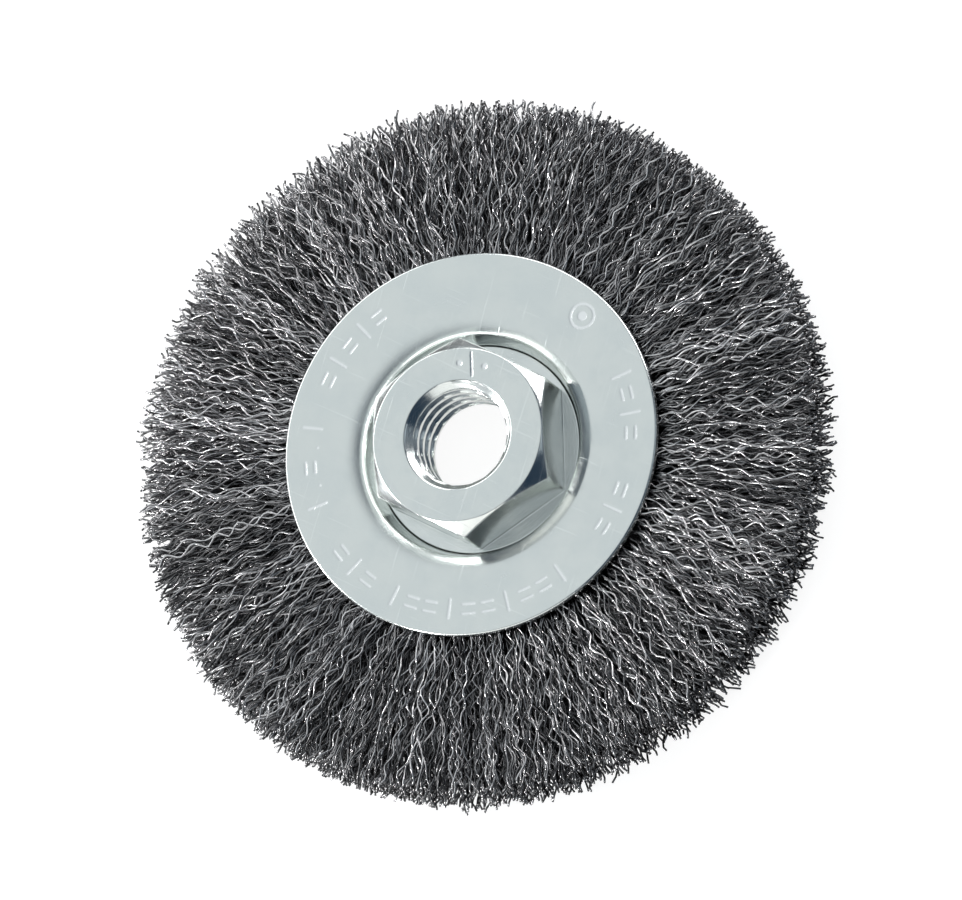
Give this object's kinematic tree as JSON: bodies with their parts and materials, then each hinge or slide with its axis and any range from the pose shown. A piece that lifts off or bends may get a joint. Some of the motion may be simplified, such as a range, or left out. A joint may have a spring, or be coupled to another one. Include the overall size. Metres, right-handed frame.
{
  "type": "crimped wire wheel brush",
  "caption": "Round brush of crimped steel wires held between two zinc-plated discs, with a threaded hexagon nut at its centre.",
  "frame": {"origin": "on the wheel's axis, in the plane that the back plate rests on", "axes": "+Z along the wheel's axis, out of the nut's threaded mouth; +Y through one corner of the hexagon"},
  "size_m": [0.1016, 0.1016, 0.018],
  "materials": {
    "zinc_plate": "zinc plated, satin",
    "zinc_nut": "zinc plated, turned",
    "crimped_wire": "burnished, dark",
    "hoop_steel": "plain drawn steel"
  },
  "bodies": {
    "root": {"front_plate": "zinc_plate", "back_plate": "zinc_plate", "arbor_nut": "zinc_nut", "core_ring": "hoop_steel", "wire_bundle_01": "crimped_wire", "wire_bundle_02": "crimped_wire", "wire_bundle_03": "crimped_wire", "wire_bundle_04": "crimped_wire", "wire_bundle_05": "crimped_wire", "wire_bundle_06": "crimped_wire", "wire_bundle_07": "crimped_wire", "wire_bundle_08": "crimped_wire", "wire_bundle_09": "crimped_wire", "wire_bundle_10": "crimped_wire", "wire_bundle_11": "crimped_wire", "wire_bundle_12": "crimped_wire", "wire_bundle_13": "crimped_wire", "wire_bundle_14": "crimped_wire", "wire_bundle_15": "crimped_wire", "wire_bundle_16": "crimped_wire", "wire_bundle_17": "crimped_wire", "wire_bundle_18": "crimped_wire", "wire_bundle_19": "crimped_wire", "wire_bundle_20": "crimped_wire", "wire_bundle_21": "crimped_wire", "wire_bundle_22": "crimped_wire", "wire_bundle_23": "crimped_wire", "wire_bundle_24": "crimped_wire"}
  },
  "joints": []
}
